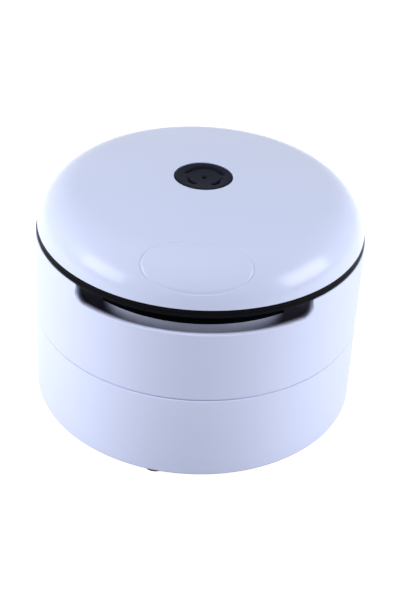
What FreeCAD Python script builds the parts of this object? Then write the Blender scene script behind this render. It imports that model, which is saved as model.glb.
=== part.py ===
import FreeCAD, Part
import math
import os
import Sketcher

# Desktop vacuum cleaner, twist-off dust bin below, motor housing, battery tray and domed cover above.
# Lengths are in millimetres and angles in degrees. The origin is on the floor, on the axis of the
# round casing, with +Z up and the exhaust slot facing -Y.

SIZES = (
    # Casing outline
    ("foot_height", 1.5),
    ("seam_height", 24.4),
    ("seam_gap", 0.3),
    ("rim_height", 49.7),
    ("dome_rise", 12.6),
    ("skirt_radius", 42.8),
    ("seam_radius", 42.4),
    ("shoulder_radius", 42.0),
    ("rim_radius", 41.5),
    ("casing_wall", 1.6),
    ("edge_round", 0.6),
    ("cut_overrun", 1.0),
    ("lip_round", 0.25),
    # Dust bin and its underside
    ("plate_recess", 1.4),
    ("plate_thickness", 1.4),
    ("boss_height", 2.7),
    ("bin_floor_thickness", 1.5),
    ("mouth_radius", 9.0),
    ("mouth_wall", 1.4),
    ("intake_height", 5.0),
    ("mouth_lip_width", 2.4),
    ("mouth_lip_height", 0.8),
    ("plate_clearance", 0.3),
    ("foot_radius", 3.0),
    ("foot_inset", 3.9),
    ("foot_angle", -101.5),
    ("foot_stem_radius", 1.2),
    ("foot_boss_radius", 2.2),
    ("foot_stem_height", 3.5),
    ("plate_screw_inset", 12.8),
    ("plate_screw_angle", 30.0),
    # Brush strips beside the mouth
    ("brush_length", 31.0),
    ("brush_width", 3.2),
    ("brush_bar_height", 1.0),
    ("brush_gap", 2.2),
    ("tuft_radius", 0.75),
    ("tuft_spacing", 3.0),
    ("tuft_ground_gap", 0.3),
    # Screws
    ("screw_radius", 1.0),
    ("screw_head_radius", 1.9),
    ("screw_head_height", 1.2),
    ("screw_length", 3.6),
    ("screw_clearance", 0.05),
    ("screw_boss_radius", 2.6),
    ("tray_boss_gap", 0.15),
    ("driver_width", 0.7),
    ("driver_depth", 0.6),
    ("screw_angle", 90.0),
    ("set_of_three", 3),
    # Spigot, seal and housing walls
    ("spigot_gap", 1.8),
    ("spigot_wall", 1.4),
    ("spigot_depth", 7.4),
    ("seal_height", 1.1),
    ("seal_clearance", 0.1),
    ("deck_thickness", 1.5),
    ("drum_radius", 35.5),
    ("drum_wall", 1.4),
    ("fan_boss_height", 5.0),
    ("fan_screw_inset", 5.6),
    ("fan_web_width", 2.4),
    # Exhaust slot and the windows that feed it
    ("slot_half_width", 27.4),
    ("slot_height", 4.6),
    ("slot_corner_radius", 2.6),
    ("window_start_angle", 14.0),
    ("window_end_angle", 42.0),
    ("window_bottom", 2.6),
    ("window_height", 8.0),
    ("cheek_angle", 43.0),
    ("cheek_thickness_angle", 2.0),
    ("cheek_depth", 10.0),
    ("cheek_clearance", 0.25),
    # Fan plate and filter
    ("fan_plate_thickness", 1.5),
    ("fan_plate_clearance", 0.2),
    ("eye_radius", 12.0),
    ("guard_bar_width", 1.8),
    ("filter_clearance", 0.3),
    ("filter_height", 4.5),
    ("filter_frame_width", 3.3),
    ("filter_ledge_width", 1.2),
    ("filter_ledge_height", 1.0),
    ("felt_thickness", 1.6),
    ("felt_clearance", 0.1),
    # Battery tray
    ("ring_radius", 41.1),
    ("ring_height", 1.9),
    ("drum_depth", 8.0),
    ("tray_floor_thickness", 1.4),
    ("collar_clearance", 0.35),
    ("collar_wall", 1.3),
    ("collar_height", 2.6),
    ("counterbore_depth", 1.3),
    ("counterbore_clearance", 0.2),
    ("well_depth", 7.5),
    ("well_wall", 1.2),
    ("well_clearance", 0.25),
    ("saddle_place", 15.0),
    ("saddle_thickness", 2.0),
    ("saddle_height", 4.4),
    ("saddle_outer_place", 22.4),
    ("saddle_inner_place", 6.4),
    ("end_wall_height", 11.0),
    ("end_wall_thickness", 1.4),
    ("end_wall_inner_place", 5.0),
    ("end_wall_outer_place", 17.6),
    ("post_place", 11.2),
    ("post_radius", 2.4),
    # Cells and their contacts
    ("cell_radius", 7.25),
    ("cell_length", 50.5),
    ("cell_nub_radius", 2.75),
    ("cell_nub_height", 1.0),
    ("cell_place", 14.2),
    ("cell_floor_gap", 0.65),
    ("cell_clearance", 0.1),
    ("contact_place", 27.3),
    ("contact_thickness", 0.3),
    ("contact_width", 10.0),
    ("contact_height", 10.0),
    ("bump_radius", 2.2),
    ("spring_radius", 3.4),
    ("spring_wire_radius", 0.3),
    ("spring_turns", 3.0),
    ("spring_length", 2.95),
    # Motor
    ("motor_radius", 7.75),
    ("motor_flat", 6.0),
    ("motor_length", 13.8),
    ("motor_wall", 0.5),
    ("motor_nose_radius", 3.0),
    ("motor_nose_height", 1.0),
    ("nose_clearance", 0.2),
    ("end_cap_height", 2.7),
    ("bush_radius", 1.8),
    ("bush_height", 1.8),
    ("shaft_radius", 1.0),
    ("shaft_clearance", 0.02),
    ("shaft_overrun", 0.9),
    ("magnet_thickness", 1.0),
    ("magnet_half_angle", 35.0),
    ("armature_radius", 5.4),
    ("armature_length", 6.0),
    ("armature_lift", 3.2),
    ("pole_count", 3),
    ("pole_gap", 1.6),
    ("pole_rim", 1.4),
    ("pole_hub_radius", 2.3),
    ("shoe_half_angle", 50.0),
    ("commutator_radius", 1.9),
    ("commutator_length", 2.6),
    ("terminal_width", 1.6),
    ("terminal_thickness", 0.4),
    ("terminal_height", 4.0),
    ("terminal_place", 4.6),
    # Fan wheel
    ("fan_side_gap", 3.4),
    ("fan_gap", 0.6),
    ("fan_disc_thickness", 1.2),
    ("blade_height", 5.5),
    ("blade_count", 9),
    ("blade_sweep", 42.0),
    ("blade_arc_radius", 17.0),
    ("blade_thickness", 1.3),
    ("hub_radius", 3.4),
    ("hub_flare_radius", 5.4),
    # Switch and its bridge
    ("bridge_gap", 0.2),
    ("bridge_thickness", 0.9),
    ("bridge_width", 7.0),
    ("bridge_overhang", 3.0),
    ("switch_width", 7.0),
    ("switch_height", 4.0),
    ("plunger_radius", 1.6),
    ("plunger_clearance", 0.1),
    ("plunger_depth", 2.6),
    ("button_travel", 1.6),
    # Leads between the contacts, the switch and the motor
    ("lead_radius", 0.5),
    ("lead_lift", 1.5),
    ("lead_entry", 2.0),
    ("tab_margin", 0.1),
    # Domed cover and button
    ("cover_wall", 1.8),
    ("dome_edge_radius", 12.5),
    ("dome_edge_drop", 1.9),
    ("button_radius", 7.2),
    ("button_gap", 0.2),
    ("button_round", 0.4),
    ("button_sink", 0.1),
    ("flange_width", 1.4),
    ("flange_thickness", 1.2),
    ("flange_clearance", 0.2),
    ("plunger_gap", 0.1),
    ("guide_gap", 0.3),
    ("guide_wall", 1.0),
    ("guide_height", 3.0),
    ("mark_radius", 4.45),
    ("mark_width", 0.7),
    ("mark_depth", 0.3),
    ("mark_arc_start", -9.0),
    ("mark_arc_end", 157.0),
    ("mark_left_start", 190.0),
    ("mark_left_end", 244.0),
    ("mark_right_start", 293.0),
    ("mark_right_end", 335.0),
    ("dimple_radius", 1.1),
)

doc = FreeCAD.newDocument("desktop_vacuum")
sheet = doc.addObject("Spreadsheet::Sheet", "Sizes")
subparts = []


class Size:
    """A value with the spreadsheet expression that gives it."""

    def __init__(self, text, value):
        self.text = text
        self.value = value

    def __add__(self, other):
        other = as_size(other)
        return Size(f"({self.text} + {other.text})", self.value + other.value)

    def __sub__(self, other):
        other = as_size(other)
        return Size(f"({self.text} - {other.text})", self.value - other.value)

    def __mul__(self, other):
        other = as_size(other)
        return Size(f"({self.text} * {other.text})", self.value * other.value)

    def __truediv__(self, other):
        other = as_size(other)
        return Size(f"({self.text} / {other.text})", self.value / other.value)

    def __neg__(self):
        return Size(f"(0 - {self.text})", -self.value)

    __radd__ = __add__
    __rmul__ = __mul__

    def __rsub__(self, other):
        return as_size(other) - self

    def __rtruediv__(self, other):
        return as_size(other) / self


def as_size(item):
    if isinstance(item, Size):
        return item
    return Size(f"({float(item)!r})", float(item))


def root(size):
    return Size(f"sqrt({size.text})", math.sqrt(size.value))


def cosine(angle):
    angle = as_size(angle)
    return Size(f"cos({angle.text})", math.cos(math.radians(angle.value)))


def sine(angle):
    angle = as_size(angle)
    return Size(f"sin({angle.text})", math.sin(math.radians(angle.value)))


def polar(radius, angle):
    return radius * cosine(angle), radius * sine(angle)


class Sheet:
    """Gives each named cell as a Size."""

    def __getattr__(self, name):
        return Size(f"Sizes.{name}", float(getattr(sheet, name)))


def fill_sheet():
    for row, (name, value) in enumerate(SIZES, 1):
        sheet.set(f"A{row}", name)
        sheet.set(f"B{row}", str(value))
        sheet.setAlias(f"B{row}", name)
    doc.recompute()


def bind(item, path, size):
    item.setExpression(path, as_size(size).text)


def new_body(label):
    body = doc.addObject("PartDesign::Body", label)
    body.Label = label
    body.AllowCompound = True
    subparts.append(body)
    return body


def origin_feature(body, role):
    return next(item for item in body.Origin.OriginFeatures if item.Role == role)


def new_sketch(body, name, plane, offset=0):
    sketch = body.newObject("Sketcher::SketchObject", name)
    sketch.AttachmentSupport = [(origin_feature(body, plane), "")]
    sketch.MapMode = "FlatFace"
    bind(sketch, "AttachmentOffset.Base.z", offset)
    return sketch


def pin(sketch, geometry, vertex, point):
    """Dimensions one vertex of a sketch from its origin."""
    for kind, size in zip(("DistanceX", "DistanceY"), point):
        index = sketch.addConstraint(Sketcher.Constraint(kind, -1, 1, geometry, vertex, size.value))
        bind(sketch, f"Constraints[{index}]", size)


def arc_geometry(start, end, radius):
    """The shorter arc between two points: anticlockwise for a positive radius."""
    middle = (start + end) * 0.5
    half = (end - start) * 0.5
    side = FreeCAD.Vector(-half.y, half.x, 0).normalize()
    reach = math.sqrt(max(radius * radius - half.Length ** 2, 0))
    centre = middle + side * (reach if radius > 0 else -reach)
    first, last = (start, end) if radius > 0 else (end, start)
    angles = [math.atan2((p - centre).y, (p - centre).x) for p in (first, last)]
    circle = Part.Circle(centre, FreeCAD.Vector(0, 0, 1), abs(radius))
    return Part.ArcOfCircle(circle, angles[0], angles[1])


def draw(sketch, outline):
    """Adds a closed outline. A point has x and y, and the radius of the arc that ends at it, if any."""
    points = [tuple(as_size(item) for item in point) for point in outline]
    ends = points[1:] + points[:1]
    vectors = [FreeCAD.Vector(point[0].value, point[1].value, 0) for point in points]
    edges = []
    for index, end in enumerate(ends):
        start_vector = vectors[index]
        end_vector = vectors[(index + 1) % len(points)]
        if len(end) == 3 and end[2].value != 0:
            geometry = sketch.addGeometry(arc_geometry(start_vector, end_vector, end[2].value))
            forward = end[2].value > 0
            edges.append((geometry, 1 if forward else 2, 2 if forward else 1))
            sign = 1 if forward else -1
            radius = Sketcher.Constraint("Radius", geometry, abs(end[2].value))
            bind(sketch, f"Constraints[{sketch.addConstraint(radius)}]", end[2] * sign)
        else:
            geometry = sketch.addGeometry(Part.LineSegment(start_vector, end_vector))
            edges.append((geometry, 1, 2))
    for index, (geometry, start, end) in enumerate(edges):
        following = edges[(index + 1) % len(edges)]
        joined = Sketcher.Constraint("Coincident", geometry, end, following[0], following[1])
        sketch.addConstraint(joined)
        pin(sketch, geometry, start, points[index][:2])


def draw_circle(sketch, centre, radius):
    centre = [as_size(item) for item in centre]
    radius = as_size(radius)
    middle = FreeCAD.Vector(centre[0].value, centre[1].value, 0)
    circle = Part.Circle(middle, FreeCAD.Vector(0, 0, 1), radius.value)
    geometry = sketch.addGeometry(circle)
    index = sketch.addConstraint(Sketcher.Constraint("Radius", geometry, radius.value))
    bind(sketch, f"Constraints[{index}]", radius)
    pin(sketch, geometry, 3, centre)


def rectangle(left, bottom, right, top):
    return [(left, bottom), (right, bottom), (right, top), (left, top)]


def sector(inner, outer, start, end):
    """A piece of a ring between two angles less than half a turn apart."""
    return [
        (*polar(inner, start), -inner),
        polar(outer, start),
        (*polar(outer, end), outer),
        polar(inner, end),
    ]


def revolve(body, name, outline, kind="PartDesign::Revolution"):
    """Turns an outline of radius and height about the Z axis."""
    sketch = new_sketch(body, f"{name}_profile", "XZ_Plane")
    draw(sketch, outline)
    feature = body.newObject(kind, name)
    feature.Profile = sketch
    feature.ReferenceAxis = (sketch, ["V_Axis"])
    feature.Angle = 360
    return feature


def extrude(body, name, plane, offset, length, outlines, circles, kind):
    sketch = new_sketch(body, f"{name}_profile", plane, offset)
    for outline in outlines:
        draw(sketch, outline)
    for centre, radius in circles:
        draw_circle(sketch, centre, radius)
    feature = body.newObject(kind, name)
    feature.Profile = sketch
    bind(feature, "Length", length)
    return feature


def pad(body, name, low, high, outlines=(), circles=()):
    """Adds plan outlines between two heights."""
    return extrude(body, name, "XY_Plane", low, high - low, outlines, circles, "PartDesign::Pad")


def pocket(body, name, low, high, outlines=(), circles=()):
    """Cuts plan outlines between two heights."""
    return extrude(body, name, "XY_Plane", high, high - low, outlines, circles, "PartDesign::Pocket")


def side_pad(body, name, front, back, outlines=(), circles=()):
    """Adds front-view outlines between two places along Y."""
    return extrude(body, name, "XZ_Plane", -as_size(back), back - front, outlines, circles, "PartDesign::Pad")


def side_pocket(body, name, front, back, outlines=(), circles=()):
    """Cuts front-view outlines between two places along Y."""
    kind = "PartDesign::Pocket"
    return extrude(body, name, "XZ_Plane", -as_size(front), back - front, outlines, circles, kind)


def repeat(body, name, features, count):
    """Repeats features evenly about the Z axis."""
    pattern = body.newObject("PartDesign::PolarPattern", name)
    pattern.Originals = features
    pattern.Axis = (origin_feature(body, "Z_Axis"), [""])
    pattern.Angle = 360
    bind(pattern, "Occurrences", count)
    body.Tip = pattern
    return pattern


def mirror(body, name, features, plane):
    pattern = body.newObject("PartDesign::Mirrored", name)
    pattern.Originals = features
    pattern.MirrorPlane = (origin_feature(body, plane), [""])
    body.Tip = pattern
    return pattern


def is_ring(edge, radius, height):
    """Whether an edge is a level circle of this radius at this height."""
    if edge.Degenerated or not isinstance(edge.Curve, Part.Circle):
        return False
    curve = edge.Curve
    level = abs(curve.Center.z - height.value) < 0.01 and abs(abs(curve.Axis.z) - 1) < 0.001
    return level and abs(curve.Radius - radius.value) < 0.01


def round_rings(body, name, base, radius, rings):
    """Rounds the level circular edges that are given as radius and height."""
    doc.recompute()
    names = []
    for number, edge in enumerate(base.Shape.Edges, 1):
        if any(is_ring(edge, ring_radius, height) for ring_radius, height in rings):
            names.append(f"Edge{number}")
    feature = body.newObject("PartDesign::Fillet", name)
    feature.Base = (base, names)
    bind(feature, "Radius", radius)
    return feature


size = Sheet()
fill_sheet()

# Levels, from the floor up
bin_top = size.seam_height - size.seam_gap
plate_bottom = size.foot_height + size.plate_recess
plate_top = plate_bottom + size.plate_thickness
floor_bottom = plate_top + size.boss_height
floor_top = floor_bottom + size.bin_floor_thickness
intake_top = floor_top + size.intake_height
deck_top = size.seam_height + size.deck_thickness
spigot_bottom = size.seam_height - size.spigot_depth
shoulder_height = size.rim_height - size.ring_height
drum_bottom = size.rim_height - size.drum_depth
tray_floor_top = drum_bottom + size.tray_floor_thickness
well_bottom = drum_bottom - size.well_depth
motor_bottom = well_bottom + size.well_wall
motor_top = motor_bottom + size.motor_length
end_cap_top = motor_top + size.end_cap_height
bridge_bottom = end_cap_top + size.bridge_gap
bridge_top = bridge_bottom + size.bridge_thickness
switch_top = bridge_top + size.switch_height
terminal_top = motor_top + size.terminal_height
low_lead_height = bridge_bottom + size.lead_radius
high_lead_height = bridge_top + size.lead_lift
cell_height = tray_floor_top + size.cell_floor_gap + size.cell_radius
fan_plate_bottom = size.seam_height - size.fan_plate_thickness
filter_bottom = fan_plate_bottom - size.filter_height
felt_bottom = filter_bottom + size.filter_ledge_height
fan_disc_top = well_bottom - size.fan_gap
fan_disc_bottom = fan_disc_top - size.fan_disc_thickness
blade_bottom = fan_disc_bottom - size.blade_height

# Radii, from the casing inwards
bin_inner = size.seam_radius - size.casing_wall
skirt_inner = size.skirt_radius - size.casing_wall
floor_share = (floor_top - size.foot_height) / (bin_top - size.foot_height)
bin_floor_radius = skirt_inner + (bin_inner - skirt_inner) * floor_share
shoulder_inner = size.shoulder_radius - size.casing_wall
spigot_outer = bin_inner - size.spigot_gap
spigot_inner = spigot_outer - size.spigot_wall
drum_inner = size.drum_radius - size.drum_wall
mouth_outer = size.mouth_radius + size.mouth_wall
foot_place = size.skirt_radius - size.foot_inset
plate_screw_place = size.skirt_radius - size.plate_screw_inset
brush_place = size.mouth_radius + size.mouth_lip_width + size.brush_gap + size.brush_width / 2
fan_screw_place = spigot_inner - size.fan_screw_inset
fan_radius = fan_screw_place - size.screw_boss_radius - size.fan_side_gap
well_inner = size.motor_radius + size.well_clearance
well_outer = well_inner + size.well_wall
screw_hole_radius = size.screw_radius + size.screw_clearance
tray_screw_place = size.drum_radius + size.tray_boss_gap + size.screw_boss_radius

# The dome is an edge arc that meets a wide crown arc, both seen in section
edge_centre_radius = size.rim_radius - root(
    size.dome_edge_radius * size.dome_edge_radius - size.dome_edge_drop * size.dome_edge_drop
)
edge_centre_height = size.rim_height - size.dome_edge_drop
edge_rise = size.dome_rise + size.dome_edge_drop
crown_radius = (
    edge_centre_radius * edge_centre_radius + edge_rise * edge_rise
    - size.dome_edge_radius * size.dome_edge_radius
) / (2 * (edge_rise - size.dome_edge_radius))
crown_centre_height = size.rim_height + size.dome_rise - crown_radius
crown_reach = crown_radius - size.dome_edge_radius


def dome_join(depth):
    """Where the edge arc meets the crown arc, at a depth under the outer face."""
    share = (crown_radius - depth) / crown_reach
    height = crown_centre_height + (edge_centre_height - crown_centre_height) * share
    return edge_centre_radius * share, height


def crown_height(radius, depth):
    """Height of the crown at a radius, at a depth under the outer face."""
    reach = crown_radius - depth
    return crown_centre_height + root(reach * reach - radius * radius)


def dome_rim(depth):
    """Radius of the dome at the rim, at a depth under the outer face."""
    reach = size.dome_edge_radius - depth
    return edge_centre_radius + root(reach * reach - size.dome_edge_drop * size.dome_edge_drop)


collar_rise = size.dome_edge_drop + size.collar_height
cover_inner_edge = size.dome_edge_radius - size.cover_wall
collar_reach = root(cover_inner_edge * cover_inner_edge - collar_rise * collar_rise)
collar_radius = edge_centre_radius + collar_reach - size.collar_clearance
collar_inner = collar_radius - size.collar_wall

button_hole = size.button_radius + size.button_gap
flange_radius = size.button_radius + size.flange_width
flange_top = crown_height(button_hole, size.cover_wall) - size.flange_clearance
flange_bottom = flange_top - size.flange_thickness
plunger_top = flange_bottom - size.plunger_gap


def make_dust_bin():
    body = new_body("dust_bin")
    shell = revolve(body, "bin_shell", [
        (size.skirt_radius, size.foot_height),
        (size.seam_radius, bin_top),
        (bin_inner, bin_top),
        (bin_floor_radius, floor_top),
        (mouth_outer, floor_top),
        (mouth_outer, intake_top),
        (size.mouth_radius, intake_top),
        (size.mouth_radius, plate_top),
        (mouth_outer, plate_top),
        (mouth_outer, floor_bottom),
        (skirt_inner, floor_bottom),
        (skirt_inner, size.foot_height),
    ])
    round_rings(body, "skirt_edge", shell, size.edge_round, [(size.skirt_radius, size.foot_height)])
    round_rings(body, "bin_lip", body.Tip, size.lip_round, [(size.seam_radius, bin_top)])
    screw_at = polar(plate_screw_place, size.plate_screw_angle)
    foot_at = polar(foot_place, size.foot_angle)
    screw_boss = [(screw_at, size.screw_boss_radius)]
    bosses = pad(body, "screw_bosses", plate_top, floor_bottom, circles=screw_boss)
    repeat(body, "screw_boss_ring", [bosses], size.set_of_three)
    screw_hole = [(screw_at, screw_hole_radius)]
    screw_holes = pocket(body, "screw_holes", plate_top, floor_bottom, circles=screw_hole)
    repeat(body, "screw_hole_ring", [screw_holes], size.set_of_three)
    foot_boss = [(foot_at, size.foot_boss_radius)]
    foot_bosses = pad(body, "foot_bosses", size.foot_height, floor_bottom, circles=foot_boss)
    repeat(body, "foot_boss_ring", [foot_bosses], size.set_of_three)
    stem_top = size.foot_height + size.foot_stem_height
    stem_hole = size.foot_stem_radius + size.screw_clearance
    foot_holes = pocket(body, "foot_holes", size.foot_height, stem_top, circles=[(foot_at, stem_hole)])
    repeat(body, "foot_hole_ring", [foot_holes], size.set_of_three)


def make_nozzle_plate():
    body = new_body("nozzle_plate")
    lip_outer = size.mouth_radius + size.mouth_lip_width
    lip_bottom = plate_bottom - size.mouth_lip_height
    plate_radius = skirt_inner - size.plate_clearance
    revolve(body, "plate_disc", [
        (size.mouth_radius, lip_bottom),
        (lip_outer, lip_bottom),
        (lip_outer, plate_bottom),
        (plate_radius, plate_bottom),
        (plate_radius, plate_top),
        (size.mouth_radius, plate_top),
    ])
    screw_at = polar(plate_screw_place, size.plate_screw_angle)
    holes = pocket(body, "screw_holes", plate_bottom, plate_top, circles=[(screw_at, screw_hole_radius)])
    repeat(body, "screw_hole_ring", [holes], size.set_of_three)
    foot_at = polar(foot_place, size.foot_angle)
    notch_radius = size.foot_boss_radius + size.plate_clearance
    notches = pocket(body, "foot_notches", plate_bottom, plate_top, circles=[(foot_at, notch_radius)])
    repeat(body, "foot_notch_ring", [notches], size.set_of_three)


def make_screws(label, place, angle, seat, direction):
    """Three screws with their heads on a seat, pointing up (1) or down (-1), as one group."""
    body = new_body(label)
    at = polar(place, angle)
    head_face = seat - size.screw_head_height * direction
    tip = seat + size.screw_length * direction
    driver_face = head_face + size.driver_depth * direction
    low, high = (seat, tip) if direction > 0 else (tip, seat)
    shank = pad(body, "shank", low, high, circles=[(at, size.screw_radius)])
    low, high = (head_face, seat) if direction > 0 else (seat, head_face)
    head = pad(body, "head", low, high, circles=[(at, size.screw_head_radius)])
    low, high = (head_face, driver_face) if direction > 0 else (driver_face, head_face)
    half_width = size.driver_width / 2
    reach = size.screw_head_radius - size.driver_width
    bars = (
        rectangle(at[0] - reach, at[1] - half_width, at[0] + reach, at[1] + half_width),
        rectangle(at[0] - half_width, at[1] - reach, at[0] + half_width, at[1] + reach),
    )
    slots = [pocket(body, f"driver_slot_{index}", low, high, [bar]) for index, bar in enumerate(bars)]
    repeat(body, "screw_ring", [shank, head, *slots], size.set_of_three)


def make_brush(label, side):
    """A bar under the nozzle plate with two rows of tufts, in front of the mouth (-1) or behind it (1)."""
    body = new_body(label)
    middle = brush_place * side
    bar_bottom = plate_bottom - size.brush_bar_height
    half_length = size.brush_length / 2
    half_width = size.brush_width / 2
    outline = rectangle(-half_length, middle - half_width, half_length, middle + half_width)
    pad(body, "bar", bar_bottom, plate_bottom, [outline])
    count = int((size.brush_length.value - size.tuft_spacing.value) / size.tuft_spacing.value) + 1
    row_offset = size.tuft_radius
    for row, shift in enumerate((-1, 1)):
        across = middle + row_offset * shift
        circles = []
        for index in range(count - row):
            along = size.tuft_spacing * (index - (count - row - 1) / 2)
            circles.append(((along, across), size.tuft_radius * 0.95))
        pad(body, f"tufts_{row}", size.tuft_ground_gap, bar_bottom, circles=circles)


def make_feet():
    for index, label in enumerate(("foot_front", "foot_right", "foot_left")):
        body = new_body(label)
        at = polar(foot_place, size.foot_angle + 120 * index)
        pad(body, "pad", 0, size.foot_height, circles=[(at, size.foot_radius)])
        stem_top = size.foot_height + size.foot_stem_height - size.screw_clearance
        pad(body, "stem", size.foot_height, stem_top, circles=[(at, size.foot_stem_radius)])


def make_bin_seal():
    body = new_body("bin_seal")
    inner = spigot_outer + size.seal_clearance / 2
    outer = bin_inner - size.seal_clearance
    bottom = size.seam_height - size.seal_height
    revolve(body, "ring", rectangle(inner, bottom, outer, size.seam_height))


def make_main_housing():
    body = new_body("main_housing")
    shell = revolve(body, "housing_shell", [
        (size.seam_radius, size.seam_height),
        (size.shoulder_radius, shoulder_height),
        (shoulder_inner, shoulder_height),
        (bin_inner, deck_top),
        (size.drum_radius, deck_top),
        (size.drum_radius, drum_bottom),
        (drum_inner, drum_bottom),
        (drum_inner, size.seam_height),
        (spigot_inner, size.seam_height),
        (spigot_inner, spigot_bottom),
        (spigot_outer, spigot_bottom),
        (spigot_outer, size.seam_height),
    ])
    rings = [(size.seam_radius, size.seam_height)]
    round_rings(body, "lower_lip", shell, size.lip_round, rings)
    round_rings(body, "shoulder_edge", body.Tip, size.edge_round, [(size.shoulder_radius, shoulder_height)])
    tray_screw_at = polar(tray_screw_place, size.screw_angle)
    fan_screw_at = polar(fan_screw_place, size.screw_angle)
    tall = pad(body, "tray_bosses", size.seam_height + size.deck_thickness / 2, shoulder_height,
               circles=[(tray_screw_at, size.screw_boss_radius)])
    repeat(body, "tray_boss_ring", [tall], size.set_of_three)
    hole_bottom = shoulder_height - size.screw_length
    holes = pocket(body, "tray_screw_holes", hole_bottom, shoulder_height,
                   circles=[(tray_screw_at, screw_hole_radius)])
    repeat(body, "tray_screw_hole_ring", [holes], size.set_of_three)
    fan_boss_top = size.seam_height + size.fan_boss_height
    low_bosses = pad(body, "fan_bosses", size.seam_height, fan_boss_top,
                     circles=[(fan_screw_at, size.screw_boss_radius)])
    half_web = size.fan_web_width / 2
    wall_middle = size.drum_radius - size.drum_wall / 2
    web = rectangle(-half_web, fan_screw_place, half_web, wall_middle)
    webs = pad(body, "fan_boss_webs", size.seam_height, fan_boss_top, [web])
    repeat(body, "fan_boss_ring", [low_bosses, webs], size.set_of_three)
    fan_hole_top = fan_plate_bottom + size.screw_length
    fan_holes = pocket(body, "fan_screw_holes", size.seam_height, fan_hole_top,
                       circles=[(fan_screw_at, screw_hole_radius)])
    repeat(body, "fan_screw_hole_ring", [fan_holes], size.set_of_three)
    cut_exhaust_windows(body)
    cut_exhaust_slot(body)


def cut_exhaust_windows(body):
    """Two windows in the fan chamber wall, where the air turns up the duct behind the slot."""
    bottom = deck_top + size.window_bottom
    top = bottom + size.window_height
    front = -90
    inner = drum_inner - size.cut_overrun
    outer = size.drum_radius + size.cut_overrun
    outlines = []
    for start, end in (
        (front + size.window_start_angle, front + size.window_end_angle),
        (front - size.window_end_angle, front - size.window_start_angle),
    ):
        outlines.append(sector(inner, outer, start, end))
    pocket(body, "exhaust_windows", bottom, top, outlines)


def cut_exhaust_slot(body):
    """The long slot under the black ring, open at the top, with rounded lower corners."""
    lip = shoulder_height - size.slot_height
    left = -size.slot_half_width
    right = size.slot_half_width
    corner = size.slot_corner_radius
    above = shoulder_height + size.cut_overrun
    outline = [
        (left + corner, lip),
        (right - corner, lip),
        (right, lip + corner, corner),
        (right, above),
        (left, above),
        (left, lip + corner),
    ]
    outline[0] = (left + corner, lip, corner)
    front = -size.seam_radius - size.shoulder_radius
    side_pocket(body, "exhaust_slot", front, -size.shoulder_radius / 2, [outline])


def make_fan_plate():
    body = new_body("fan_plate")
    radius = spigot_inner - size.fan_plate_clearance
    disc = [((0, 0), radius), ((0, 0), size.eye_radius)]
    pad(body, "disc", fan_plate_bottom, size.seam_height, circles=disc)
    half = size.guard_bar_width / 2
    reach = size.eye_radius + size.guard_bar_width
    pad(body, "guard_bar_x", fan_plate_bottom, size.seam_height, [rectangle(-reach, -half, reach, half)])
    pad(body, "guard_bar_y", fan_plate_bottom, size.seam_height, [rectangle(-half, -reach, half, reach)])
    at = polar(fan_screw_place, size.screw_angle)
    holes = pocket(body, "screw_holes", fan_plate_bottom, size.seam_height, circles=[(at, screw_hole_radius)])
    repeat(body, "screw_hole_ring", [holes], size.set_of_three)


def make_filter():
    frame = new_body("filter_frame")
    outer = spigot_inner - size.filter_clearance
    inner = outer - size.filter_frame_width
    ledge = inner - size.filter_ledge_width
    revolve(frame, "frame_ring", [
        (ledge, filter_bottom),
        (outer, filter_bottom),
        (outer, fan_plate_bottom),
        (inner, fan_plate_bottom),
        (inner, felt_bottom),
        (ledge, felt_bottom),
    ])
    half = size.guard_bar_width / 2
    reach = ledge + size.filter_ledge_width / 2
    pad(frame, "bar_x", filter_bottom, felt_bottom, [rectangle(-reach, -half, reach, half)])
    pad(frame, "bar_y", filter_bottom, felt_bottom, [rectangle(-half, -reach, half, reach)])
    felt = new_body("filter_felt")
    felt_circle = [((0, 0), inner - size.felt_clearance)]
    pad(felt, "disc", felt_bottom, felt_bottom + size.felt_thickness, circles=felt_circle)


def make_battery_tray():
    body = new_body("battery_tray")
    nose_hole = size.motor_nose_radius + size.nose_clearance
    collar_top = size.rim_height + size.collar_height
    revolve(body, "tray_shell", [
        (nose_hole, well_bottom),
        (well_outer, well_bottom),
        (well_outer, drum_bottom),
        (size.drum_radius, drum_bottom),
        (size.drum_radius, shoulder_height),
        (collar_radius, shoulder_height),
        (collar_radius, collar_top),
        (collar_inner, collar_top),
        (collar_inner, size.rim_height),
        (drum_inner, size.rim_height),
        (drum_inner, tray_floor_top),
        (well_inner, tray_floor_top),
        (well_inner, motor_bottom),
        (nose_hole, motor_bottom),
    ])
    revolve(body, "ring", [
        (collar_inner, shoulder_height),
        (size.ring_radius - size.lip_round, shoulder_height),
        (size.ring_radius, shoulder_height + size.lip_round, size.lip_round),
        (size.ring_radius, size.rim_height),
        (collar_inner, size.rim_height),
    ])
    screw_at = polar(tray_screw_place, size.screw_angle)
    ear = [(screw_at, size.screw_boss_radius)]
    ears = pad(body, "screw_ears", shoulder_height, size.rim_height, circles=ear)
    repeat(body, "screw_ear_ring", [ears], size.set_of_three)
    hole = [(screw_at, screw_hole_radius)]
    holes = pocket(body, "screw_holes", shoulder_height, size.rim_height, circles=hole)
    head_seat = size.rim_height - size.counterbore_depth
    bore_radius = size.screw_head_radius + size.counterbore_clearance
    bores = pocket(body, "counterbores", head_seat, collar_top, circles=[(screw_at, bore_radius)])
    repeat(body, "screw_hole_ring", [holes, bores], size.set_of_three)
    add_duct_cheeks(body)
    add_cell_cradles(body)
    posts = [((0, size.post_place), size.post_radius), ((0, -size.post_place), size.post_radius)]
    floor_middle = tray_floor_top - size.tray_floor_thickness / 2
    pad(body, "switch_posts", floor_middle, bridge_bottom, circles=posts)
    tip = bridge_top - size.screw_length
    post_holes = [(centre, screw_hole_radius) for centre, radius in posts]
    pocket(body, "post_holes", tip, bridge_bottom, circles=post_holes)


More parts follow.
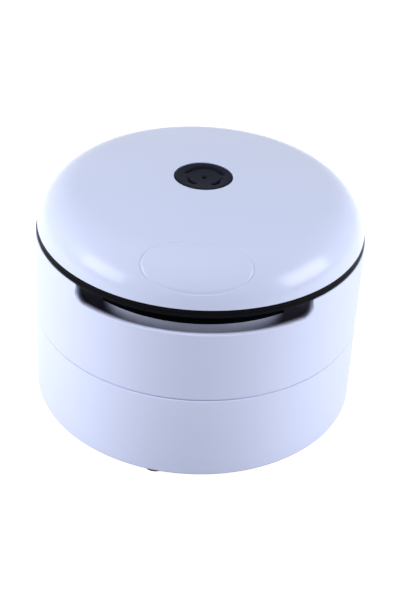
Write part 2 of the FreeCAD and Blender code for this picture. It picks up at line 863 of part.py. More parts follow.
def add_duct_cheeks(body):
    """Walls that hang from the ring and close the ends of the exhaust duct behind the slot."""
    front = -90
    near = size.cheek_angle
    far = size.cheek_angle + size.cheek_thickness_angle
    outer = shoulder_inner - size.cheek_clearance
    wall_middle = size.drum_radius - size.drum_wall / 2
    hanging_inner = size.drum_radius + size.cheek_clearance
    top = shoulder_height + size.ring_height / 2
    bottom = shoulder_height - size.cheek_depth
    for name, inner, low, high in (
        ("duct_cheeks", wall_middle, drum_bottom, top),
        ("hanging_cheeks", hanging_inner, bottom, drum_bottom),
    ):
        right = sector(inner, outer, front + near, front + far)
        left = sector(inner, outer, front - far, front - near)
        pad(body, name, low, high, [right, left])


def add_cell_cradles(body):
    """Saddles under the two cells, and walls behind their contacts."""
    base = tray_floor_top - size.tray_floor_thickness / 2
    top = tray_floor_top + size.saddle_height
    cradle = size.cell_radius + size.cell_clearance
    drop = cell_height - top
    half_chord = root(cradle * cradle - drop * drop)
    outlines = []
    for side in (1, -1):
        points = [
            (size.saddle_inner_place * side, base),
            (size.saddle_outer_place * side, base),
            (size.saddle_outer_place * side, top),
            ((size.cell_place + half_chord) * side, top),
            ((size.cell_place - half_chord) * side, top, -cradle * side),
            (size.saddle_inner_place * side, top),
        ]
        outlines.append(points)
    half_thickness = size.saddle_thickness / 2
    saddles = side_pad(body, "saddles", size.saddle_place - half_thickness,
                       size.saddle_place + half_thickness, outlines)
    mirror(body, "saddle_pair", [saddles], "XZ_Plane")
    wall_front = size.contact_place + size.contact_thickness
    wall_back = wall_front + size.end_wall_thickness
    wall_top = tray_floor_top + size.end_wall_height
    walls = [
        rectangle(size.end_wall_inner_place, base, size.end_wall_outer_place, wall_top),
        rectangle(-size.end_wall_outer_place, base, -size.end_wall_inner_place, wall_top),
    ]
    end_walls = side_pad(body, "end_walls", wall_front, wall_back, walls)
    mirror(body, "end_wall_pair", [end_walls], "XZ_Plane")


def flat_sided(radius, flat):
    """A circle with its left and right sides cut flat."""
    reach = root(radius * radius - flat * flat)
    return [
        (flat, -reach, radius),
        (flat, reach),
        (-flat, reach, radius),
        (-flat, -reach),
    ]


def make_motor_case():
    can = new_body("motor_can")
    pad(can, "case", motor_bottom, motor_top, [flat_sided(size.motor_radius, size.motor_flat)])
    inner_radius = size.motor_radius - size.motor_wall
    inner_flat = size.motor_flat - size.motor_wall
    inside = [flat_sided(inner_radius, inner_flat)]
    pocket(can, "inside", motor_bottom + size.motor_wall, motor_top, inside)
    nose_bottom = motor_bottom - size.motor_nose_height
    nose = [((0, 0), size.motor_nose_radius)]
    pad(can, "nose", nose_bottom, motor_bottom, circles=nose)
    bush_seat = [((0, 0), size.bush_radius)]
    pocket(can, "bush_seat", nose_bottom, motor_bottom + size.motor_wall, circles=bush_seat)
    cap = new_body("motor_end_cap")
    pad(cap, "cap", motor_top, end_cap_top, [flat_sided(size.motor_radius, size.motor_flat)])
    pocket(cap, "bush_seat", motor_top, motor_top + size.bush_height, circles=bush_seat)
    shaft_hole = [((0, 0), size.shaft_radius + size.nose_clearance)]
    pocket(cap, "shaft_hole", motor_top, end_cap_top, circles=shaft_hole)
    half_thickness = size.terminal_thickness / 2 + size.screw_clearance
    pocket(cap, "terminal_slots", motor_top, end_cap_top, terminal_outlines(half_thickness))


def terminal_outlines(half_thickness):
    """The two upright blades of the motor's terminals, seen from above."""
    half_width = size.terminal_width / 2
    outlines = []
    for side in (1, -1):
        middle = size.terminal_place * side
        outlines.append(rectangle(middle - half_thickness, -half_width, middle + half_thickness, half_width))
    return outlines


def make_bushes():
    nose_bottom = motor_bottom - size.motor_nose_height
    for label, bottom in (("bush_front", nose_bottom), ("bush_rear", motor_top)):
        body = new_body(label)
        bore = size.shaft_radius + size.shaft_clearance
        pad(body, "sleeve", bottom, bottom + size.bush_height,
            circles=[((0, 0), size.bush_radius), ((0, 0), bore)])


def make_magnets():
    body = new_body("motor_magnets")
    outer = size.motor_radius - size.motor_wall
    inner = outer - size.magnet_thickness
    low = motor_bottom + size.motor_wall
    high = motor_top - size.motor_wall
    arcs = []
    for middle in (90, -90):
        start = middle - size.magnet_half_angle
        end = middle + size.magnet_half_angle
        arcs.append(sector(inner, outer, start, end))
    pad(body, "arcs", low, high, arcs)


def make_terminals():
    body = new_body("motor_terminals")
    pad(body, "blades", motor_top, terminal_top, terminal_outlines(size.terminal_thickness / 2))


def make_shaft():
    body = new_body("motor_shaft")
    bottom = blade_bottom + size.shaft_overrun
    pad(body, "rod", bottom, motor_top + size.bush_height, circles=[((0, 0), size.shaft_radius)])


def make_armature():
    """Three T-shaped poles on a hub, and the commutator above them."""
    body = new_body("armature")
    low = motor_bottom + size.armature_lift
    high = low + size.armature_length
    bore = size.shaft_radius + size.shaft_clearance
    hub = [((0, 0), size.pole_hub_radius)]
    pad(body, "hub", low, high, circles=hub)
    half_stem = size.pole_gap / 2
    rim_inner = size.armature_radius - size.pole_rim
    stem = pad(body, "stem", low, high, [rectangle(0, -half_stem, rim_inner + size.pole_rim / 2, half_stem)])
    shoe_outline = sector(rim_inner, size.armature_radius, -size.shoe_half_angle, size.shoe_half_angle)
    shoe = pad(body, "shoe", low, high, [shoe_outline])
    repeat(body, "poles", [stem, shoe], size.pole_count)
    pocket(body, "bore", low, high, circles=[((0, 0), bore)])
    commutator = new_body("commutator")
    pad(commutator, "sleeve", high, high + size.commutator_length,
        circles=[((0, 0), size.commutator_radius), ((0, 0), bore)])


def make_impeller():
    """A disc with swept blades below it, fixed to the end of the motor shaft."""
    body = new_body("impeller")
    bore = size.shaft_radius + size.shaft_clearance
    revolve(body, "disc", [
        (bore, blade_bottom + size.shaft_overrun),
        (size.hub_radius, blade_bottom + size.shaft_overrun),
        (size.hub_flare_radius, fan_disc_bottom),
        (fan_radius, fan_disc_bottom),
        (fan_radius, fan_disc_top),
        (bore, fan_disc_top),
    ])
    start_turn = size.blade_thickness / size.eye_radius * (180 / math.pi)
    end_turn = size.blade_thickness / fan_radius * (180 / math.pi)
    outline = [
        (*polar(size.eye_radius, 0), size.blade_arc_radius),
        polar(size.eye_radius, start_turn),
        (*polar(fan_radius, end_turn - size.blade_sweep), -size.blade_arc_radius),
        polar(fan_radius, -size.blade_sweep),
    ]
    blade = pad(body, "blade", blade_bottom, fan_disc_bottom, [outline])
    repeat(body, "blades", [blade], size.blade_count)


def make_switch():
    bridge = new_body("switch_bridge")
    half_width = size.bridge_width / 2
    reach = size.post_place + size.bridge_overhang
    pad(bridge, "bar", bridge_bottom, bridge_top, [rectangle(-half_width, -reach, half_width, reach)])
    holes = [((0, size.post_place), screw_hole_radius), ((0, -size.post_place), screw_hole_radius)]
    pocket(bridge, "screw_holes", bridge_bottom, bridge_top, circles=holes)
    screws = new_body("bridge_screws")
    half_slot = size.driver_width / 2
    for side, name in ((1, "rear"), (-1, "front")):
        centre = (0, size.post_place * side)
        tip = bridge_top - size.screw_length
        pad(screws, f"shank_{name}", tip, bridge_top, circles=[(centre, size.screw_radius)])
        head_top = bridge_top + size.screw_head_height
        pad(screws, f"head_{name}", bridge_top, head_top, circles=[(centre, size.screw_head_radius)])
        slot_reach = size.screw_head_radius - size.driver_width
        bar = rectangle(-slot_reach, centre[1] - half_slot, slot_reach, centre[1] + half_slot)
        pocket(screws, f"slot_{name}", head_top - size.driver_depth, head_top, [bar])
    case = new_body("switch_case")
    half = size.switch_width / 2
    pad(case, "block", bridge_top, switch_top, [rectangle(-half, -half, half, half)])
    bore = size.plunger_radius + size.plunger_clearance
    pocket(case, "plunger_bore", switch_top - size.plunger_depth, switch_top, circles=[((0, 0), bore)])
    plunger = new_body("switch_plunger")
    low = switch_top - size.plunger_depth + size.button_travel + size.plunger_clearance
    pad(plunger, "rod", low, plunger_top, circles=[((0, 0), size.plunger_radius)])


def make_cells():
    """Two AA cells side by side along Y, facing opposite ways."""
    for label, side in (("cell_left", -1), ("cell_right", 1)):
        body = new_body(label)
        can_length = size.cell_length - size.cell_nub_height
        revolve(body, "can", [
            (0, 0),
            (size.cell_radius, 0),
            (size.cell_radius, can_length),
            (size.cell_nub_radius, can_length),
            (size.cell_nub_radius, size.cell_length),
            (0, size.cell_length),
        ])
        nub_face = size.contact_place - size.cell_nub_height - size.contact_thickness / 3
        bind(body, "Placement.Base.x", size.cell_place * side)
        bind(body, "Placement.Base.y", (size.cell_length - nub_face) * side)
        bind(body, "Placement.Base.z", cell_height)
        body.Placement.Rotation = FreeCAD.Rotation(FreeCAD.Vector(1, 0, 0), 90 * side)


def make_contacts():
    """Spring and plate contacts at both ends of each cell."""
    back = size.contact_place + size.contact_thickness
    low = cell_height - size.contact_height / 2
    high = cell_height + size.contact_height / 2
    for label, side in (("contact_bridge", 1), ("contact_pair", -1)):
        body = new_body(label)
        half = size.contact_width / 2
        outer = size.end_wall_outer_place
        inner = outer - size.contact_width
        plates = [rectangle(inner, low, outer, high), rectangle(-outer, low, -inner, high)]
        if side > 0:
            plates = [rectangle(-outer, low, outer, high)]
        front, rear = (size.contact_place, back) if side > 0 else (-back, -size.contact_place)
        side_pad(body, "plates", front, rear, plates)
        bump_tip = size.contact_place - size.cell_nub_height
        front, rear = (bump_tip, size.contact_place) if side > 0 else (-size.contact_place, -bump_tip)
        bump_at = (-size.cell_place * side, cell_height)
        side_pad(body, "bump", front, rear, circles=[(bump_at, size.bump_radius)])
        if side < 0:
            add_lead_tabs(body, inner, back)


def add_lead_tabs(body, plate_edge, back):
    """A tab beside each front contact plate, where its lead ends."""
    reach = size.lead_radius + size.tab_margin
    tab_inner = size.terminal_place - reach
    low = low_lead_height - reach
    high = high_lead_height + reach
    tabs = [rectangle(tab_inner, low, plate_edge, high), rectangle(-plate_edge, low, -tab_inner, high)]
    side_pad(body, "lead_tabs", -back, -size.contact_place, tabs)


def bend(body, name, plane, offset, pivot, centre, axis):
    """A quarter turn of lead from a plane, about an axis of the sketch moved to the pivot."""
    sketch = new_sketch(body, f"{name}_profile", plane, offset)
    bind(sketch, "AttachmentOffset.Base.x", pivot[0])
    bind(sketch, "AttachmentOffset.Base.y", pivot[1])
    draw_circle(sketch, centre, size.lead_radius)
    feature = body.newObject("PartDesign::Revolution", name)
    feature.Profile = sketch
    feature.ReferenceAxis = (sketch, [axis])
    feature.Angle = 90


def make_leads():
    """Leads from one contact to the switch, from the switch to the motor, and from the motor to the other."""
    half_case = size.switch_width / 2
    turn = size.terminal_place - half_case
    start = -size.contact_place
    positive = new_body("lead_positive")
    turn_place = -size.lead_entry - turn
    run_at = (size.terminal_place, high_lead_height)
    side_pad(positive, "run", start, turn_place, circles=[(run_at, size.lead_radius)])
    bend(positive, "turn", "XZ_Plane", -turn_place, (half_case, 0), (turn, high_lead_height), "V_Axis")
    link = new_body("lead_switch")
    bend(link, "turn", "YZ_Plane", half_case, (0, terminal_top), (0, turn), "H_Axis")
    negative = new_body("lead_negative")
    run_at = (-size.terminal_place, low_lead_height)
    side_pad(negative, "run", start, -size.terminal_width / 2, circles=[(run_at, size.lead_radius)])


def coil(coil_radius, wire_radius, rise, half_turns):
    """A spring of half turns, each a flat arc that tilts the other way from the one before."""
    lift = rise / half_turns / 2
    solids = []
    for index in range(half_turns):
        side = 1 if index % 2 == 0 else -1
        centre = FreeCAD.Vector(0, 0, (2 * index + 1) * lift)
        start = FreeCAD.Vector(coil_radius * side, 0, 2 * index * lift)
        circle = Part.makeCircle(wire_radius, start, FreeCAD.Vector(0, 1, 0))
        axis = FreeCAD.Vector(lift * side, 0, coil_radius)
        solids.append(Part.Face(Part.Wire(circle)).revolve(centre, axis, 180))
    return solids[0].multiFuse(solids[1:])


def make_springs():
    """Coiled contact springs at the flat ends of the cells."""
    for label, side in (("spring_rear", 1), ("spring_front", -1)):
        wire_radius = size.spring_wire_radius.value
        rise = size.spring_length.value - 2 * wire_radius
        half_turns = round(2 * size.spring_turns.value)
        spring = doc.addObject("Part::Feature", label)
        spring.Label = label
        spring.Shape = coil(size.spring_radius.value, wire_radius, rise, half_turns)
        x_place = size.cell_place.value * side
        y_place = (size.contact_place.value - wire_radius) * side
        turn = FreeCAD.Rotation(FreeCAD.Vector(1, 0, 0), 90 * side)
        spring.Placement = FreeCAD.Placement(FreeCAD.Vector(x_place, y_place, cell_height.value), turn)
        subparts.append(spring)


def make_top_cover():
    body = new_body("top_cover")
    wall = size.cover_wall
    outer_join = dome_join(as_size(0))
    inner_join = dome_join(wall)
    revolve(body, "dome", [
        (dome_rim(wall), size.rim_height, -(size.dome_edge_radius - wall)),
        (size.rim_radius, size.rim_height),
        (*outer_join, size.dome_edge_radius),
        (button_hole, crown_height(button_hole, as_size(0)), crown_radius),
        (button_hole, crown_height(button_hole, wall)),
        (*inner_join, -(crown_radius - wall)),
    ])
    guide_inner = flange_radius + size.guide_gap
    guide_outer = guide_inner + size.guide_wall
    guide_top = crown_height(guide_outer, wall / 2)
    pad(body, "button_guide", guide_top - size.guide_height, guide_top,
        circles=[((0, 0), guide_outer), ((0, 0), guide_inner)])


def make_power_button():
    body = new_body("power_button")
    edge = crown_height(size.button_radius, as_size(0)) - size.button_sink
    middle = crown_height(as_size(0), as_size(0)) - size.button_sink
    cap = revolve(body, "cap", [
        (0, flange_bottom),
        (flange_radius, flange_bottom),
        (flange_radius, flange_top),
        (size.button_radius, flange_top),
        (size.button_radius, edge),
        (0, middle, crown_radius),
    ])
    round_rings(body, "cap_edge", cap, size.button_round, [(size.button_radius, edge)])
    half = size.mark_width / 2
    inner = size.mark_radius - half
    outer = size.mark_radius + half
    marks = [
        sector(inner, outer, size.mark_arc_start, size.mark_arc_end),
        sector(inner, outer, size.mark_left_start, size.mark_left_end),
        sector(inner, outer, size.mark_right_start, size.mark_right_end),
    ]
    pocket(body, "grooves", edge - size.mark_depth, middle, marks)
    pocket(body, "dimple", middle - size.mark_depth, middle, circles=[((0, 0), size.dimple_radius)])


def check_and_write():
    doc.recompute()
    for item in doc.Objects:
        if "Invalid" in item.State or "Error" in item.State:
            raise RuntimeError(f"{item.Label} is {item.State}")
    for item in subparts:
        if item.Shape.isNull() or not item.Shape.isValid():
            raise RuntimeError(f"{item.Label} has no valid shape")
    os.makedirs("parts", exist_ok=True)
    for item in subparts:
        item.Shape.exportStep(f"parts/{item.Label}.step")


make_dust_bin()
make_nozzle_plate()
make_screws("nozzle_screws", plate_screw_place, size.plate_screw_angle, plate_bottom, 1)
make_brush("brush_front", -1)
make_brush("brush_rear", 1)
make_feet()
make_bin_seal()
make_main_housing()
make_fan_plate()
make_screws("fan_plate_screws", fan_screw_place, size.screw_angle, fan_plate_bottom, 1)
make_filter()
make_battery_tray()
tray_screw_seat = size.rim_height - size.counterbore_depth
make_screws("tray_screws", tray_screw_place, size.screw_angle, tray_screw_seat, -1)
make_motor_case()
make_bushes()
make_magnets()
make_terminals()
make_shaft()
make_armature()
make_impeller()
make_switch()
make_cells()
make_contacts()
make_springs()
make_leads()
make_top_cover()
make_power_button()
check_and_write()
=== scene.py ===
import math

import bmesh
import bpy
from mathutils import Matrix, Vector


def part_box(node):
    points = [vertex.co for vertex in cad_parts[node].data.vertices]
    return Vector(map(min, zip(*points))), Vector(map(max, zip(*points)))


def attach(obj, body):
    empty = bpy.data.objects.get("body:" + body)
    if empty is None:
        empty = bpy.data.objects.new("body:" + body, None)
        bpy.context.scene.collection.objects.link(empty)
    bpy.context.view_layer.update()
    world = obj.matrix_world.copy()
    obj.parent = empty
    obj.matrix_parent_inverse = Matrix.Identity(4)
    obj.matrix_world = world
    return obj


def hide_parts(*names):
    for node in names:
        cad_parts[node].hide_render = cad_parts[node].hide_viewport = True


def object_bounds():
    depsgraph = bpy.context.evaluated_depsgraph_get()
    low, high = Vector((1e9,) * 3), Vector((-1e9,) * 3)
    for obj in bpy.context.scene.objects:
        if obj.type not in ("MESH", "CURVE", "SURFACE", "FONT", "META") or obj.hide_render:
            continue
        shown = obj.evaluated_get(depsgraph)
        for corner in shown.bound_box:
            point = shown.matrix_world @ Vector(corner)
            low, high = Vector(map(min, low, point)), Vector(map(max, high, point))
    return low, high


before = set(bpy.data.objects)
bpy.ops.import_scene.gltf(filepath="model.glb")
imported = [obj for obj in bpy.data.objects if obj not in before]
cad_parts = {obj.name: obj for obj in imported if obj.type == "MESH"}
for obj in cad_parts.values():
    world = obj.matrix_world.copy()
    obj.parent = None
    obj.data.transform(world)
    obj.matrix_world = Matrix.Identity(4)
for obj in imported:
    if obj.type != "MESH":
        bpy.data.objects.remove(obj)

# Desktop vacuum cleaner: white casing in two halves, black battery tray, domed cover, round button.
# Profiles are written in millimetres, as radius and height, and newPiece turns them into metres.

mm = 0.001
tiny = 1e-6  # keeps a division away from zero
weldGap = 1e-8  # in metres: points closer than this become one
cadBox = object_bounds()


def cornersOf(node):  # lowest and highest corner of a CAD node, in millimetres
    low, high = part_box(node)
    return low / mm, high / mm


coverLow, coverHigh = cornersOf("top_cover")
housingLow, housingHigh = cornersOf("main_housing")
binLow, binHigh = cornersOf("dust_bin")
sealHigh = cornersOf("bin_seal")[1]
buttonLow, buttonHigh = cornersOf("power_button")
plateHigh = cornersOf("nozzle_plate")[1]

rimHeight = coverLow.z
rimRadius = coverHigh.x
shoulderHeight = housingHigh.z
seamHeight = sealHigh.z
seamRadius = housingHigh.x


# Shader nodes
class Wire:  # a shader socket that Python maths can be written on
    def __init__(self, web, socket):
        self.web = web
        self.socket = socket

    def maths(self, operation, first, second):
        return self.web.add("ShaderNodeMath", {"operation": operation}, {0: first, 1: second})

    def __add__(self, other):
        return self.maths("ADD", self, other)

    def __radd__(self, other):
        return self.maths("ADD", other, self)

    def __sub__(self, other):
        return self.maths("SUBTRACT", self, other)

    def __rsub__(self, other):
        return self.maths("SUBTRACT", other, self)

    def __mul__(self, other):
        return self.maths("MULTIPLY", self, other)

    def __rmul__(self, other):
        return self.maths("MULTIPLY", other, self)

    def __gt__(self, other):
        return self.maths("GREATER_THAN", self, other)


class Web:  # a node tree that is filled through one method
    def __init__(self, tree):
        self.tree = tree
        tree.nodes.clear()

    def add(self, kind, settings=None, inputs=None, output=0):
        node = self.tree.nodes.new(kind)
        for name, value in (settings or {}).items():
            setattr(node, name, value)
        for name, value in (inputs or {}).items():
            if isinstance(value, Wire):
                self.tree.links.new(value.socket, node.inputs[name])
            else:
                node.inputs[name].default_value = value
        return Wire(self, node.outputs[output]) if len(node.outputs) else node

    def place(self):  # the point on the surface, in metres, which stays put when a piece moves
        return self.add("ShaderNodeTexCoord", output=3)

    def noise(self, scale, detail=3.0, roughness=0.5, vector=None):
        values = {"Vector": vector or self.place(), "Scale": scale, "Detail": detail, "Roughness": roughness}
        return self.add("ShaderNodeTexNoise", {"normalize": True}, values)

    def blendColours(self, factor, first, second):
        values = {0: factor, 6: first, 7: second}
        return self.add("ShaderNodeMix", {"data_type": "RGBA", "clamp_factor": True}, values, 2)

    def share(self, value, start, end, blend="LINEAR"):  # 0 at the start value, 1 at the end value
        values = {"Value": value, "From Min": start, "From Max": end}
        return self.add("ShaderNodeMapRange", {"interpolation_type": blend}, values)

    def bump(self, height, distance):
        return self.add("ShaderNodeBump", None, {"Strength": 1.0, "Distance": distance, "Height": height})


def newLook(name):
    material = bpy.data.materials.new(name)
    material.use_nodes = True
    return material, Web(material.node_tree)


def colour(red, green, blue):
    return (red, green, blue, 1.0)


def closeLook(web, inputs):
    surface = web.add("ShaderNodeBsdfPrincipled", None, inputs)
    web.add("ShaderNodeOutputMaterial", None, {"Surface": surface})


def plasticLook(name, kit):  # moulded plastic: slight mottle, wear in the gloss, fine grain
    material, web = newLook(name)
    mottle = web.noise(kit["mottleScale"], 4.0)
    clouds = web.noise(kit["cloudScale"], 2.0)
    grain = web.noise(kit["grainScale"], 2.0, 0.6)
    base = web.blendColours(mottle, colour(*kit["dark"]), colour(*kit["light"]))
    # a kit's shade function paints shade into the base colour
    if kit.get("shade"):
        base = kit["shade"](web, base)
    spread = kit["roughnessSpread"]
    closeLook(web, {
        "Base Color": base,
        "Roughness": kit["roughness"] + (clouds - 0.5) * spread + (mottle - 0.5) * spread,
        "Normal": web.bump(grain, kit["grainDepth"] * mm),
        "IOR": 1.5,
        "Specular IOR Level": kit.get("specular", 0.5),
    })
    return material


def metalLook(name, kit):  # plated or turned metal: fine streaks along one axis
    material, web = newLook(name)
    stretch = web.add("ShaderNodeMapping", None, {"Vector": web.place(), "Scale": kit["streak"]})
    streaks = web.noise(1.0, 3.0, 0.6, stretch)
    tarnish = web.noise(kit["tarnishScale"], 3.0)
    base = web.blendColours(tarnish, colour(*kit["dark"]), colour(*kit["light"]))
    closeLook(web, {
        "Base Color": base,
        "Metallic": 1.0,
        "Roughness": kit["roughness"] + (streaks - 0.5) * kit["roughnessSpread"],
        "Normal": web.bump(streaks, kit["streakDepth"] * mm),
    })
    return material


def feltLook(name, kit):  # needled felt: tangled fibres over soft lumps
    material, web = newLook(name)
    fibres = web.noise(kit["fibreScale"], 6.0, 0.75)
    lumps = web.noise(kit["lumpScale"], 2.0)
    base = web.blendColours(fibres, colour(*kit["dark"]), colour(*kit["light"]))
    closeLook(web, {
        "Base Color": base,
        "Roughness": kit["roughness"] + (lumps - 0.5) * kit["roughnessSpread"],
        "Normal": web.bump(fibres + lumps, kit["fibreDepth"] * mm),
        "Sheen Weight": kit["sheen"],
    })
    return material


whitePlastic = {
    "dark": (0.632, 0.685, 0.895), "light": (0.647, 0.70, 0.91), "roughness": 0.45, "roughnessSpread": 0.06,
    "mottleScale": 35.0, "cloudScale": 12.0, "grainScale": 2600.0, "grainDepth": 0.0025, "specular": 0.015,
}
coverPlastic = dict(whitePlastic, dark=(0.543, 0.600, 0.797), light=(0.558, 0.617, 0.812), roughness=0.17,
                    roughnessSpread=0.05, grainDepth=0.0012, specular=0.5)
# painted shade: the dark brown of the duct's shaded ends, given to the cheeks
ductShadePlastic = dict(whitePlastic, dark=(0.12, 0.105, 0.14), light=(0.18, 0.16, 0.20), roughness=0.6, specular=0.1)
blackPlastic = {
    "dark": (0.0018, 0.0020, 0.0034), "light": (0.0030, 0.0034, 0.0056),
    "roughness": 0.3, "roughnessSpread": 0.08,
    "mottleScale": 60.0, "cloudScale": 25.0, "grainScale": 3200.0, "grainDepth": 0.004, "specular": 0.04,
}
buttonPlastic = {
    "dark": (0.0112, 0.0132, 0.0220), "light": (0.0138, 0.0158, 0.0255),
    "roughness": 0.42, "roughnessSpread": 0.08,
    "mottleScale": 80.0, "cloudScale": 40.0, "grainScale": 3600.0, "grainDepth": 0.005, "specular": 0.02,
}
greyPlastic = {
    "dark": (0.13, 0.135, 0.145), "light": (0.16, 0.165, 0.175), "roughness": 0.5, "roughnessSpread": 0.1,
    "mottleScale": 60.0, "cloudScale": 25.0, "grainScale": 3000.0, "grainDepth": 0.006,
}
ivoryPlastic = dict(greyPlastic, dark=(0.55, 0.53, 0.47), light=(0.62, 0.60, 0.54), roughness=0.45)
fanPlastic = dict(greyPlastic, dark=(0.42, 0.43, 0.43), light=(0.48, 0.49, 0.49), roughness=0.4)
rubber = dict(greyPlastic, dark=(0.012, 0.012, 0.013), light=(0.02, 0.02, 0.021), roughness=0.75,
              grainDepth=0.015, specular=0.3)
cellPaint = dict(greyPlastic, dark=(0.02, 0.035, 0.075), light=(0.028, 0.045, 0.09), roughness=0.25)
redPaint = dict(greyPlastic, dark=(0.42, 0.012, 0.01), light=(0.5, 0.02, 0.015), roughness=0.35)
blackPaint = dict(greyPlastic, dark=(0.012, 0.012, 0.012), light=(0.02, 0.02, 0.02), roughness=0.35)
steel = {
    "dark": (0.46, 0.46, 0.47), "light": (0.60, 0.60, 0.61), "roughness": 0.32, "roughnessSpread": 0.12,
    "streak": (400.0, 400.0, 4000.0), "tarnishScale": 300.0, "streakDepth": 0.004,
}
brass = dict(steel, dark=(0.55, 0.38, 0.13), light=(0.70, 0.50, 0.20))
copper = dict(steel, dark=(0.50, 0.22, 0.11), light=(0.68, 0.34, 0.19))
iron = dict(steel, dark=(0.10, 0.10, 0.105), light=(0.16, 0.16, 0.165), roughness=0.55,
            streak=(200.0, 200.0, 9000.0), streakDepth=0.02)
felt = {"dark": (0.50, 0.50, 0.46), "light": (0.72, 0.72, 0.68), "fibreScale": 2500.0, "lumpScale": 300.0,
        "fibreDepth": 0.15, "roughness": 0.9, "roughnessSpread": 0.1, "sheen": 0.3}

looks = {
    "cover": plasticLook("coverWhite", coverPlastic),
    "duct": plasticLook("ductShadeBrown", ductShadePlastic),
    "black": plasticLook("trayBlack", blackPlastic),
    "button": plasticLook("buttonGrey", buttonPlastic),
    "grey": plasticLook("frameGrey", greyPlastic),
    "ivory": plasticLook("nylonIvory", ivoryPlastic),
    "fan": plasticLook("fanPlastic", fanPlastic),
    "rubber": plasticLook("softRubber", rubber),
    "cell": plasticLook("cellSleeve", cellPaint),
    "red": plasticLook("redInsulation", redPaint),
    "blackWire": plasticLook("blackInsulation", blackPaint),
    "steel": metalLook("platedSteel", steel),
    "brass": metalLook("turnedBrass", brass),
    "copper": metalLook("commutatorCopper", copper),
    "iron": metalLook("laminatedIron", iron),
    "felt": feltLook("filterFelt", felt),
}
print("looks made:", len(looks))


# Mesh tools
def rounded(corners, steps=6):  # a closed outline whose corners are (x, y) or (x, y, radius of a tangent arc)
    outline = []
    for index, corner in enumerate(corners):
        here = Vector(corner[:2])
        radius = corner[2] if len(corner) > 2 else 0
        if not radius:
            outline.append(here)
            continue
        before = (Vector(corners[index - 1][:2]) - here).normalized()
        after = (Vector(corners[(index + 1) % len(corners)][:2]) - here).normalized()
        half = before.angle(after) / 2
        centre = here + (before + after).normalized() * radius / math.sin(half)
        start = here + before * radius / math.tan(half) - centre
        turn = (math.pi - 2 * half) * (1 if before.cross(after) < 0 else -1)
        for step in range(steps + 1):
            outline.append(centre + Matrix.Rotation(turn * step / steps, 2) @ start)
    return outline


def arcPoints(centre, radius, startAngle, endAngle, steps):
    points = []
    for step in range(steps + 1):
        angle = startAngle + (endAngle - startAngle) * step / steps
        points.append(Vector((centre[0] + radius * math.cos(angle), centre[1] + radius * math.sin(angle))))
    return points


def evenTurns(steps, start=0.0, end=360.0):  # angles in degrees, without the last one
    return [start + (end - start) * step / steps for step in range(steps)]


def quarterTurn(steps):  # angles from 0 to a right angle
    return [math.pi / 2 * step / steps for step in range(steps + 1)]


def closedGrid(columns, rows):  # faces of a grid of points that closes both ways
    faces = []
    for column in range(columns):
        here = column * rows
        there = (column + 1) % columns * rows
        for row in range(rows):
            after = (row + 1) % rows
            faces.append((here + row, there + row, there + after, here + after))
    return faces


def lathe(outline, turns, carve=None):  # turns a closed outline of radius and height about the Z axis
    points = []
    for turn in turns:
        angle = math.radians(turn)
        for radius, height in outline:
            lower = carve(radius, angle, height) if carve else 0
            points.append((radius * math.cos(angle), radius * math.sin(angle), height - lower))
    return points, closedGrid(len(turns), len(outline))


def softStep(value):  # from 0 to 1 with a smooth start and end
    value = min(max(value, 0.0), 1.0)
    return value * value * (3 - 2 * value)


def post(place, angle, radius, low, high, steps=32):  # an upright round boss at a radius and an angle
    points = []
    middle = Vector((place * math.cos(math.radians(angle)), place * math.sin(math.radians(angle)), 0))
    for height in (low, high):
        for step in range(steps):
            turn = 2 * math.pi * step / steps
            points.append(middle + Vector((radius * math.cos(turn), radius * math.sin(turn), height)))
    faces = [tuple(range(steps - 1, -1, -1)), tuple(range(steps, 2 * steps))]
    for step in range(steps):
        after = (step + 1) % steps
        faces.append((step, after, steps + after, steps + step))
    return points, faces


def newPiece(name, shells, look, body, replaced=(), crease=32.0):
    mesh = bpy.data.meshes.new(name)
    work = bmesh.new()
    for points, faces in shells:
        corners = [work.verts.new(Vector(point) * mm) for point in points]
        for face in faces:
            work.faces.new([corners[index] for index in face])
    bmesh.ops.remove_doubles(work, verts=work.verts, dist=weldGap)
    bmesh.ops.dissolve_degenerate(work, edges=work.edges, dist=weldGap)
    bmesh.ops.recalc_face_normals(work, faces=work.faces)
    work.to_mesh(mesh)
    work.free()
    mesh.shade_smooth()
    mesh.set_sharp_from_angle(angle=math.radians(crease))
    piece = bpy.data.objects.new(name, mesh)
    bpy.context.scene.collection.objects.link(piece)
    mesh.materials.append(looks[look])
    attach(piece, body)
    if replaced:
        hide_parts(*replaced)


# Domed cover
dome = {"edgeRadius": 12.5, "edgeDrop": 1.9, "rise": 12.6, "wall": 1.8, "holeRadius": 7.4, "holeRound": 0.3,
        "rimRound": 0.25, "guideInner": 8.9, "guideOuter": 9.9, "guideBottom": 57.4,
        "fineFrom": 28.0, "fineStep": 0.15, "crownStep": 1.0, "innerStep": 0.8, "innerCrownStep": 2.0,
        "lipSteps": 6, "fineTurns": 200, "coarseTurns": 314, "guideTurns": 128}
badge = {"top": 28.8, "bottom": 40.3, "halfWidth": 12.9, "shift": 0.1, "grooveHalf": 0.42, "grooveDepth": 0.15,
         "fineAngle": 23.0, "margin": 1.0, "skin": 0.01, "leastSine": 0.3}
edgeCentreRadius = rimRadius - math.sqrt(dome["edgeRadius"] ** 2 - dome["edgeDrop"] ** 2)
edgeCentreHeight = rimHeight - dome["edgeDrop"]
edgeRise = dome["rise"] + dome["edgeDrop"]
crownSpan = edgeCentreRadius ** 2 + edgeRise ** 2 - dome["edgeRadius"] ** 2
crownRadius = crownSpan / (2 * (edgeRise - dome["edgeRadius"]))
crownCentreHeight = rimHeight + dome["rise"] - crownRadius
joinAngle = math.atan2(edgeCentreHeight - crownCentreHeight, edgeCentreRadius)


def crownHeight(radius, depth=0.0):
    return crownCentreHeight + math.sqrt((crownRadius - depth) ** 2 - radius ** 2)


